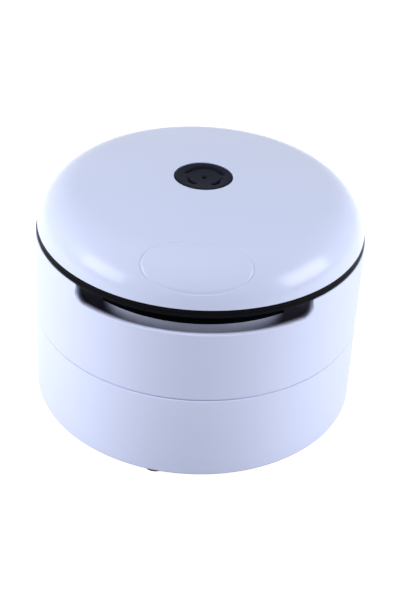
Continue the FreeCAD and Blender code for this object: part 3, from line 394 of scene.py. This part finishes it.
def domeHeight(radius):  # height of the cover's outer face at a radius
    if radius < crownRadius * math.cos(joinAngle):
        return crownHeight(radius)
    reach = min(radius - edgeCentreRadius, dome["edgeRadius"])
    return edgeCentreHeight + math.sqrt(dome["edgeRadius"] ** 2 - reach ** 2)


def domeSection(depth, crownRadii, step):  # from the rim inwards, at a depth under the outer face
    edge = dome["edgeRadius"] - depth
    rimAngle = math.asin(dome["edgeDrop"] / edge)
    steps = int(edge * (joinAngle - rimAngle) / step) + 1
    section = arcPoints((edgeCentreRadius, edgeCentreHeight), edge, rimAngle, joinAngle, steps)
    start = joinAngle
    for radius, fineness in crownRadii:
        end = math.acos(radius / (crownRadius - depth))
        steps = int((crownRadius - depth) * (end - start) / fineness) + 1
        section += arcPoints((0, crownCentreHeight), crownRadius - depth, start, end, steps)[1:]
        start = end
    return section


badgeTop = Vector((badge["shift"], -badge["top"], domeHeight(badge["top"])))
badgeBottom = Vector((badge["shift"], -badge["bottom"], domeHeight(badge["bottom"])))
badgeMiddle = (badgeTop + badgeBottom) / 2
badgeUp = (badgeTop - badgeBottom).normalized()
badgeHalfHeight = (badgeTop - badgeBottom).length / 2


def coverCarve(radius, angle, height):  # the fine oval groove round the bare badge at the front
    if radius < badge["top"] - badge["margin"] or abs(height - domeHeight(radius)) > badge["skin"]:
        return 0
    place = Vector((radius * math.cos(angle), radius * math.sin(angle), height)) - badgeMiddle
    if place.y > badgeHalfHeight * 2 or abs(place.x) > badge["halfWidth"] + badge["margin"]:
        return 0
    across = place.x
    along = place.dot(badgeUp)
    share = math.hypot(across / badge["halfWidth"], along / badgeHalfHeight) + tiny
    slope = math.hypot(across / badge["halfWidth"] ** 2, along / badgeHalfHeight ** 2) / share + tiny
    away = abs(share - 1) / slope / badge["grooveHalf"]
    if away > 1:
        return 0
    slant = math.sin(math.atan2(height - edgeCentreHeight, radius - edgeCentreRadius))
    steepness = 1.0 / max(slant, badge["leastSine"])
    return badge["grooveDepth"] * math.cos(away * math.pi / 2) ** 2 * steepness


def makeCover():
    hole = dome["holeRadius"]
    lip = dome["holeRound"]
    fine = dome["fineStep"]
    outer = domeSection(0.0, [(dome["fineFrom"], fine), (hole + lip, dome["crownStep"])], fine)
    inner = domeSection(dome["wall"], [(hole, dome["innerCrownStep"])], dome["innerStep"])
    holeTop = crownHeight(hole + lip)
    rounding = arcPoints((hole + lip, holeTop - lip), lip, math.pi / 2, math.pi, dome["lipSteps"])
    rim = [Vector((inner[0].x, rimHeight)), Vector((outer[0].x - dome["rimRound"], rimHeight))]
    outline = rim + outer + rounding[1:] + list(reversed(inner))[:-1]
    guideTop = crownHeight(dome["guideOuter"], dome["wall"] / 2)
    guide = rounded([
        (dome["guideInner"], dome["guideBottom"]), (dome["guideOuter"], dome["guideBottom"]),
        (dome["guideOuter"], guideTop), (dome["guideInner"], guideTop),
    ])
    front = -90.0
    near = badge["fineAngle"]
    turns = evenTurns(dome["fineTurns"], front - near, front + near)
    turns += evenTurns(dome["coarseTurns"], front + near, front - near + 360)
    shells = [lathe(outline, turns, coverCarve), lathe(guide, evenTurns(dome["guideTurns"]))]
    newPiece("coverShell", shells, "cover", "cover", ["top_cover"])


# Button
button = {"capRadius": 7.2, "capRound": 0.5, "sink": 0.1, "dishRadius": 6.6, "dishDepth": 0.6, "markShift": 0.25,
          "markBack": 5.25, "markFront": 3.95, "markDepth": 1.0, "markSteep": 0.25, "markGentle": 1.2,
          "markFade": 1.5, "gapHalf": 24.0, "gapRamp": 5.0, "dimpleRadius": 0.9, "dimpleDepth": 0.95,
          "crownDrop": 1.2, "flange": 1.2, "axisGap": 0.0005, "crownStep": 0.06, "lipSteps": 6, "turns": 360}


def buttonCarve(radius, angle, height):
    if height < crownHeight(button["capRadius"]) - button["crownDrop"] or radius > button["dishRadius"]:
        return 0
    place = Vector((radius * math.cos(angle) - button["markShift"], radius * math.sin(angle)))
    away = place.length + tiny
    side = place.y / away  # 1 at the back of the ring mark, -1 at its front
    across = away - button["markBack"] if side > 0 else button["markFront"] - away
    wall = 1 - across / button["markSteep"] if across > 0 else 1 + across / button["markGentle"]
    fromFront = math.degrees(abs(math.atan2(place.x, -place.y)))
    opened = softStep((fromFront - button["gapHalf"]) / button["gapRamp"])
    depth = button["markDepth"] * max(wall, 0) * opened * softStep(abs(side) * button["markFade"])
    bowl = max(1 - (away / button["dimpleRadius"]) ** 2, 0)
    dish = 1 - min(radius / button["dishRadius"], 1) ** 2
    return depth + button["dimpleDepth"] * bowl + button["dishDepth"] * dish


def makeButton():
    cap = button["capRadius"]
    lip = button["capRound"]
    flangeTop = buttonLow.z + button["flange"]
    edge = crownHeight(cap) - button["sink"]
    crown = []
    for step in range(1, int((cap - lip) / button["crownStep"])):
        radius = button["crownStep"] * step
        crown.append(Vector((radius, crownHeight(radius) - button["sink"])))
    outline = [Vector(corner) for corner in (
        (button["axisGap"], buttonLow.z), (buttonHigh.x, buttonLow.z),
        (buttonHigh.x, flangeTop), (cap, flangeTop),
    )]
    outline += arcPoints((cap - lip, edge - lip), lip, 0, math.pi / 2, button["lipSteps"])
    outline += list(reversed(crown)) + [Vector((button["axisGap"], crownHeight(0) - button["sink"]))]
    shell = lathe(outline, evenTurns(button["turns"]), buttonCarve)
    newPiece("buttonCap", [shell], "button", "button", ["power_button"])


# Main housing
housing = {"wall": 1.6, "slotAngle": 41.35, "slotTurn": -90.4, "slotHeight": 4.58, "lowerCorner": 2.6,
           "upperCorner": 0.4, "lipRound": 0.3, "endRound": 0.8, "topRound": 0.16, "evenBand": 0.2, "draft": 0.1,
           "lowerRound": 0.25, "taper": 0.4, "fade": 3, "skirt": 20, "columnStep": 0.9, "cornerSteps": 10,
           "lowerSteps": 4, "outerSteps": 8, "innerSteps": 4, "turns": 256, "coreSteps": 5, "overlap": 0.4,
           "deckRound": 0.5, "drumRound": 0.15, "spigotRound": 0.3, "bossSink": 0.5, "bossGap": 0.01,
           "deck": 1.5, "drumRadius": 35.5, "drumWall": 1.4, "drumBottom": 41.7, "spigotOuter": 39.0,
           "spigotWall": 1.4, "bossRadius": 2.6, "bossPlace": 38.25, "bossAngles": (90.0, 210.0, 330.0)}
# painted shade in the slot, on the inner half of its edge and on the drum behind it; its colour is also the
# painted shade on the bin's lower edge
slotPaintedShade = {"spread": 2.4, "outer": 0.85, "inner": 1.45, "below": 0.6, "strength": 0.85, "drumStrength": 0.38,
            "endStart": 30.5, "endFull": 37.5, "endStrength": 0.36, "drumReach": 0.3,
            "colour": (0.10, 0.09, 0.13)}


def wallRadius(height):
    share = (height - seamHeight) / (shoulderHeight - seamHeight)
    return seamRadius - housing["taper"] * share


def slotOutline():  # the top edge of the wall, unrolled: distance round the casing and height
    half = math.radians(housing["slotAngle"]) * seamRadius
    reach = math.pi * seamRadius
    edge = half + housing["draft"]
    top = shoulderHeight
    low = top - housing["skirt"]
    lip = top - housing["slotHeight"]
    corners = [
        (-reach, low), (-reach, top), (-edge, top, housing["upperCorner"]), (-half, lip, housing["lowerCorner"]),
        (half, lip, housing["lowerCorner"]), (edge, top, housing["upperCorner"]), (reach, top), (reach, low),
    ]
    coarse = rounded(corners, housing["cornerSteps"])[1:-1]
    outline = []
    for first, second in zip(coarse, coarse[1:]):
        pieces = max(1, int((second - first).length / housing["columnStep"]))
        for step in range(pieces):
            outline.append(first.lerp(second, step / pieces))
    return outline


def slottedWall():
    outline = slotOutline()
    count = len(outline)
    period = Vector((2 * math.pi * seamRadius, 0))
    wall = housing["wall"]
    lower = housing["lowerRound"]
    points = []
    for index, place in enumerate(outline):
        sunk = softStep((shoulderHeight - place.y) / housing["slotHeight"] * housing["fade"])
        before = outline[index - 1] if index else outline[-1] - period
        after = outline[(index + 1) % count] + (period if index + 1 == count else Vector((0, 0)))
        run = (after - before).normalized()
        inward = Vector((run.y, -run.x))
        slotRound = housing["lipRound"] + (housing["endRound"] - housing["lipRound"]) * abs(run.y)
        outerRound = housing["topRound"] + (slotRound - housing["topRound"]) * sunk
        innerRound = housing["topRound"]
        column = []
        for angle in quarterTurn(housing["lowerSteps"]):
            depth = lower * (1 - math.sin(angle))
            column.append(((place + inward * outerRound).x, seamHeight + lower * (1 - math.cos(angle)), depth))
        below = place + inward * (outerRound + housing["evenBand"])
        column.append((below.x, seamHeight + lower + housing["evenBand"], 0))
        column.append((below.x, below.y, 0))
        for angle in quarterTurn(housing["outerSteps"]):
            at = place + inward * outerRound * (1 - math.sin(angle))
            column.append((at.x, at.y, outerRound * (1 - math.cos(angle))))
        for angle in quarterTurn(housing["innerSteps"]):
            at = place + inward * innerRound * (1 - math.cos(angle))
            column.append((at.x, at.y, wall - innerRound * (1 - math.sin(angle))))
        column.append(((place + inward * innerRound).x, seamHeight, wall))
        for around, height, depth in column:
            angle = around / seamRadius + math.radians(housing["slotTurn"])
            radius = wallRadius(height) - depth
            points.append((radius * math.cos(angle), radius * math.sin(angle), height))
    return points, closedGrid(count, len(points) // count)


def slotShade(web, base):  # painted shade: darkens the inner half of the slot's edge and the drum behind it, more towards the drum's ends
    place = web.place()
    across, along, height = [web.add("ShaderNodeSeparateXYZ", None, {0: place}, axis) for axis in range(3)]
    turn = along.maths("ARCTAN2", along, across) - math.radians(housing["slotTurn"])
    away = turn.maths("ABSOLUTE", turn, 0.0)
    within = away.maths("LESS_THAN", away, math.radians(housing["slotAngle"] + slotPaintedShade["spread"]))
    squares = across * across + along * along
    radius = squares.maths("SQRT", squares, 0.0)
    outside = (seamRadius - slotPaintedShade["outer"]) * mm
    inside = (seamRadius - slotPaintedShade["inner"]) * mm
    depth = web.share(radius, outside, inside)
    above = height > (shoulderHeight - housing["slotHeight"] - slotPaintedShade["below"]) * mm
    drum = radius.maths("LESS_THAN", radius, (housing["drumRadius"] + slotPaintedShade["drumReach"]) * mm)
    ends = web.share(away, math.radians(slotPaintedShade["endStart"]), math.radians(slotPaintedShade["endFull"]), "SMOOTHSTEP")
    # painted shade on the drum, stronger towards the ends of the slot
    drumShade = drum * (ends * slotPaintedShade["endStrength"] + slotPaintedShade["drumStrength"])
    base = web.blendColours(drumShade, base, colour(*slotPaintedShade["colour"]))
    return web.blendColours(within * depth * above * slotPaintedShade["strength"], base, colour(*slotPaintedShade["colour"]))


def edgeShade(web, base):  # painted shade along the lower edge of the bin
    height = web.add("ShaderNodeSeparateXYZ", None, {0: web.place()}, 2)
    low = binLow.z - dustBin["skirtDrop"]
    share = web.share(height, (low + dustBin["shadeTop"]) * mm, (low + dustBin["shadeLow"]) * mm)
    return web.blendColours(share * dustBin["shadeStrength"], base, colour(*slotPaintedShade["colour"]))


def makeHousing():
    deckTop = seamHeight + housing["deck"]
    drum = housing["drumRadius"]
    bore = drum - housing["drumWall"]
    spigot = housing["spigotOuter"]
    spigotBore = spigot - housing["spigotWall"]
    outer = seamRadius - housing["wall"] + housing["overlap"]
    core = rounded([
        (outer, seamHeight), (outer, deckTop), (drum, deckTop, housing["deckRound"]),
        (drum, housing["drumBottom"], housing["drumRound"]), (bore, housing["drumBottom"]), (bore, seamHeight),
        (spigotBore, seamHeight), (spigotBore, housingLow.z, housing["spigotRound"]),
        (spigot, housingLow.z, housing["spigotRound"]), (spigot, seamHeight),
    ], housing["coreSteps"])
    shells = [slottedWall(), lathe(core, evenTurns(housing["turns"]))]
    low = deckTop - housing["bossSink"]
    high = shoulderHeight - housing["bossGap"]
    for angle in housing["bossAngles"]:
        shells.append(post(housing["bossPlace"], angle, housing["bossRadius"], low, high))
    # the housing's white carries painted shade in and around the slot
    looks["housing"] = plasticLook("housingWhite", dict(whitePlastic, shade=slotShade))
    newPiece("housingShell", shells, "housing", "housing", ["main_housing"])


# Black ring between the housing and the cover
trim = {"topRadius": 41.42, "bottomRadius": 41.85, "groove": 0.2, "round": 0.15, "gap": 0.02, "depth": 1.2,
        "grooveHalf": 0.2, "slant": 0.03, "edgeRound": 0.05, "grooveRound": 0.1, "steps": 4, "turns": 384}


def makeRing():
    low = shoulderHeight + trim["gap"]
    high = rimHeight - trim["gap"]
    inner = rimRadius - trim["depth"]
    half = trim["grooveHalf"]
    slant = trim["slant"]
    bottom = trim["bottomRadius"]
    top = trim["topRadius"]
    middle = (low + high) / 2
    outer = (bottom + top) / 2
    outline = rounded([
        (inner, low), (bottom, low, trim["round"]), (outer + slant, middle - half, trim["edgeRound"]),
        (outer - trim["groove"], middle, trim["grooveRound"]), (outer - slant, middle + half, trim["edgeRound"]),
        (top, high, trim["round"]), (inner, high),
    ], trim["steps"])
    newPiece("ringFace", [lathe(outline, evenTurns(trim["turns"]))], "black", "housing")


# Dark brown cheeks that close the ends of the exhaust duct; their colour is painted shade of the duct's deep ends
cheek = {"innerRadius": 35.6, "innerStart": 37.4, "outerStart": 42.6, "end": 46.0, "turn": -90.9, "bottom": 38.5,
         "top": 47.7, "gap": 0.1}


def makeCheeks():
    outer = seamRadius - housing["wall"] - cheek["gap"] - housing["taper"]
    outline = [(cheek["innerRadius"], cheek["innerStart"]), (outer, cheek["outerStart"]), (outer, cheek["end"]),
               (cheek["innerRadius"], cheek["end"])]
    for side, name in ((-1, "ductCheekLeft"), (1, "ductCheekRight")):
        points = []
        for height in (cheek["bottom"], cheek["top"]):
            for radius, degrees in outline:
                angle = math.radians(cheek["turn"] + side * degrees)
                points.append((radius * math.cos(angle), radius * math.sin(angle), height))
        sides = [(step, (step + 1) % 4, 4 + (step + 1) % 4, 4 + step) for step in range(4)]
        faces = [(3, 2, 1, 0), (4, 5, 6, 7)] + sides
        newPiece(name, [(points, faces)], "duct", "housing")


# Dust bin
# the bin's lower edge carries painted shade, set by the three keys for its top, its low end and its strength
dustBin = {"wall": 1.6, "skirtRound": 0.35, "skirtDrop": 0.35,
           "shadeTop": 0.45, "shadeLow": 0.1, "shadeStrength": 0.6, "lipRound": 0.3, "innerRound": 0.2,
           "cornerRound": 1.0, "intakeRound": 0.8, "mouthRound": 0.6, "skirtInnerRound": 0.3, "bossSink": 0.3,
           "turns": 320, "floorBottom": 7.0, "floorTop": 8.5,
           "mouthRadius": 9.0, "mouthOuter": 10.4, "intakeTop": 13.5, "footPlace": 38.9, "footAngle": -101.5,
           "footBoss": 2.2, "screwPlace": 30.0, "screwAngle": 30.0, "screwBoss": 2.6}


def makeBin():
    skirt = binHigh.x
    skirtLow = binLow.z - dustBin["skirtDrop"]
    inner = seamRadius - dustBin["wall"]
    skirtInner = skirt - dustBin["wall"]
    mouth = dustBin["mouthRadius"]
    mouthOuter = dustBin["mouthOuter"]
    mouthRound = dustBin["mouthRound"]
    floorLow = dustBin["floorBottom"]
    floorHigh = dustBin["floorTop"]
    outline = rounded([
        (skirt, skirtLow, dustBin["skirtRound"]), (seamRadius, binHigh.z, dustBin["lipRound"]),
        (inner, binHigh.z, dustBin["innerRound"]), (inner, floorHigh, dustBin["cornerRound"]),
        (mouthOuter, floorHigh, dustBin["intakeRound"]), (mouthOuter, dustBin["intakeTop"], mouthRound),
        (mouth, dustBin["intakeTop"], mouthRound), (mouth, plateHigh.z), (mouthOuter, plateHigh.z),
        (mouthOuter, floorLow), (skirtInner, floorLow, mouthRound),
        (skirtInner, skirtLow, dustBin["skirtInnerRound"]),
    ])
    shells = [lathe(outline, evenTurns(dustBin["turns"]))]
    bossTop = floorLow + dustBin["bossSink"]
    for third in range(3):
        footAngle = dustBin["footAngle"] + 120 * third
        shells.append(post(dustBin["footPlace"], footAngle, dustBin["footBoss"], binLow.z, bossTop))
        screwAngle = dustBin["screwAngle"] + 120 * third
        shells.append(post(dustBin["screwPlace"], screwAngle, dustBin["screwBoss"], plateHigh.z, bossTop))
    # the bin's white carries painted shade along its lower edge
    looks["bin"] = plasticLook("binWhite", dict(whitePlastic, shade=edgeShade))
    newPiece("binShell", shells, "bin", "base", ["dust_bin"])


# CAD nodes that stay, with their finishes
finishes = {
    "black": ["battery_tray", "nozzle_plate", "switch_case"],
    "grey": ["fan_plate", "filter_frame", "switch_bridge"],
    "ivory": ["motor_end_cap", "switch_plunger"],
    "fan": ["impeller"],
    "rubber": ["bin_seal", "foot_front", "foot_right", "foot_left", "brush_front", "brush_rear"],
    "cell": ["cell_left", "cell_right"],
    "red": ["lead_positive", "lead_switch"],
    "blackWire": ["lead_negative"],
    "steel": ["nozzle_screws", "fan_plate_screws", "tray_screws", "bridge_screws", "motor_can", "motor_shaft",
              "contact_bridge", "contact_pair", "spring_rear", "spring_front"],
    "brass": ["motor_terminals", "bush_front", "bush_rear"],
    "copper": ["commutator"],
    "iron": ["armature", "motor_magnets"],
    "felt": ["filter_felt"],
}


def dressNodes():
    for look, nodes in finishes.items():
        for node in nodes:
            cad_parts[node].material_slots[0].material = looks[look]


makeCover()
makeButton()
print("cover and button made")
makeHousing()
makeRing()
makeCheeks()
makeBin()
print("casing made")
dressNodes()


# Camera, lights and floor
view = {"focalPixels": 1177.0, "frameHeight": 601.0, "distance": 7.255, "turn": 0.75, "elevation": 29.92,
        "roll": 3.066, "yaw": 0.1779, "pitch": -3.975}


def aimCamera():
    rise = math.radians(view["elevation"])
    turned = Matrix.Rotation(math.radians(view["turn"]), 3, "Z")
    back = turned @ Vector((0, -math.cos(rise), math.sin(rise)))
    right = turned @ Vector((1, 0, 0))
    up = turned @ Vector((0, math.sin(rise), math.cos(rise)))
    ahead = -back
    yaw = math.radians(view["yaw"])
    right, ahead = math.cos(yaw) * right - math.sin(yaw) * ahead, math.sin(yaw) * right + math.cos(yaw) * ahead
    pitch = math.radians(view["pitch"])
    up, ahead = math.cos(pitch) * up - math.sin(pitch) * ahead, math.sin(pitch) * up + math.cos(pitch) * ahead
    roll = math.radians(view["roll"])
    right, up = math.cos(roll) * right + math.sin(roll) * up, -math.sin(roll) * right + math.cos(roll) * up
    lens = bpy.data.cameras.new("camera")
    lens.sensor_fit = "AUTO"
    lens.sensor_width = 36.0
    lens.lens = view["focalPixels"] / view["frameHeight"] * lens.sensor_width
    lens.clip_start = 0.01
    camera = bpy.data.objects.new("camera", lens)
    bpy.context.scene.collection.objects.link(camera)
    place = Vector((0, 0, rimHeight * mm)) + back * view["distance"] * rimRadius * mm
    camera.matrix_world = Matrix.Translation(place) @ Matrix((right, up, -ahead)).transposed().to_4x4()
    bpy.context.scene.camera = camera


lamps = [
    {"name": "leftBox", "place": (-0.60, -0.12, 0.305), "size": (0.4, 0.3), "power": 3.9, "mirrored": False},
    {"name": "rightBox", "place": (0.60, -0.14, 0.305), "size": (0.4, 0.3), "power": 3.1, "mirrored": False},
    {"name": "leftCard", "place": (-0.58, -0.27, 0.26), "size": (0.38, 0.24), "power": 0.95, "mirrored": True},
    {"name": "rightCard", "place": (0.62, -0.15, 0.26), "size": (0.42, 0.26), "power": 1.2, "mirrored": True},
]


def makeLamp(kit):
    data = bpy.data.lights.new(kit["name"], "AREA")
    data.shape = "RECTANGLE"
    data.size, data.size_y = kit["size"]
    data.energy = kit["power"]
    lamp = bpy.data.objects.new(kit["name"], data)
    lamp.visible_glossy = kit["mirrored"]
    bpy.context.scene.collection.objects.link(lamp)
    place = Vector(kit["place"])
    lamp.location = place
    lamp.rotation_euler = (Vector(room["lampAim"]) - place).to_track_quat("-Z", "Y").to_euler()


room = {"ambient": (0.86, 0.89, 1.0), "frontStrength": 0.20, "backStrength": 0.44, "lampAim": (0, 0, 0.03),
        "floorDark": (0.47, 0.47, 0.48), "floorLight": (0.50, 0.50, 0.51), "speckleScale": 120.0,
        "floorDrop": 0.00005, "floorLift": 0.95, "floorHalf": 4.0}


def seenDirectly(web):  # 1 for camera, mirror and glass rays, 0 for the light that falls on the object
    path = "ShaderNodeLightPath"
    seen = web.add(path, output=0) + web.add(path, output=3) + web.add(path, output=6)
    return seen > 0.5


def makeWorld():
    world = bpy.data.worlds.new("studio")
    bpy.context.scene.world = world
    world.use_nodes = True
    web = Web(world.node_tree)
    tint = colour(*room["ambient"])
    front = web.add("ShaderNodeBackground", None, {"Color": tint, "Strength": room["frontStrength"]})
    back = web.add("ShaderNodeBackground", None, {"Color": tint, "Strength": room["backStrength"]})
    toBack = web.add("ShaderNodeSeparateXYZ", None, {0: web.add("ShaderNodeTexCoord", output=0)}, 1) * 0.5 + 0.5
    ambient = web.add("ShaderNodeMixShader", None, {0: toBack, 1: front, 2: back})
    backdrop = web.add("ShaderNodeBackground", None, {"Color": colour(1.0, 1.0, 1.0), "Strength": 1.0})
    both = web.add("ShaderNodeMixShader", None, {0: seenDirectly(web), 1: ambient, 2: backdrop})
    web.add("ShaderNodeOutputWorld", None, {"Surface": both})


def makeFloor():
    material, web = newLook("floorPaper")
    speckle = web.noise(room["speckleScale"])
    paper = web.blendColours(speckle, colour(*room["floorDark"]), colour(*room["floorLight"]))
    matte = web.add("ShaderNodeBsdfDiffuse", None, {"Color": paper})
    lift = web.add("ShaderNodeEmission", None, {"Color": colour(1.0, 1.0, 1.0), "Strength": room["floorLift"]})
    lifted = web.add("ShaderNodeAddShader", None, {0: matte, 1: lift})
    both = web.add("ShaderNodeMixShader", None, {0: seenDirectly(web), 1: matte, 2: lifted})
    web.add("ShaderNodeOutputMaterial", None, {"Surface": both})
    half = room["floorHalf"]
    mesh = bpy.data.meshes.new("floorSheet")
    mesh.from_pydata([(-half, -half, 0), (half, -half, 0), (half, half, 0), (-half, half, 0)], [], [(0, 1, 2, 3)])
    mesh.materials.append(material)
    floorSheet = bpy.data.objects.new("floorSheet", mesh)
    bpy.context.scene.collection.objects.link(floorSheet)
    floorSheet.location.z = cadBox[0].z - room["floorDrop"]


aimCamera()
for kit in lamps:
    makeLamp(kit)
makeWorld()
makeFloor()
bpy.context.scene.view_settings.view_transform = "Standard"
print("studio made")
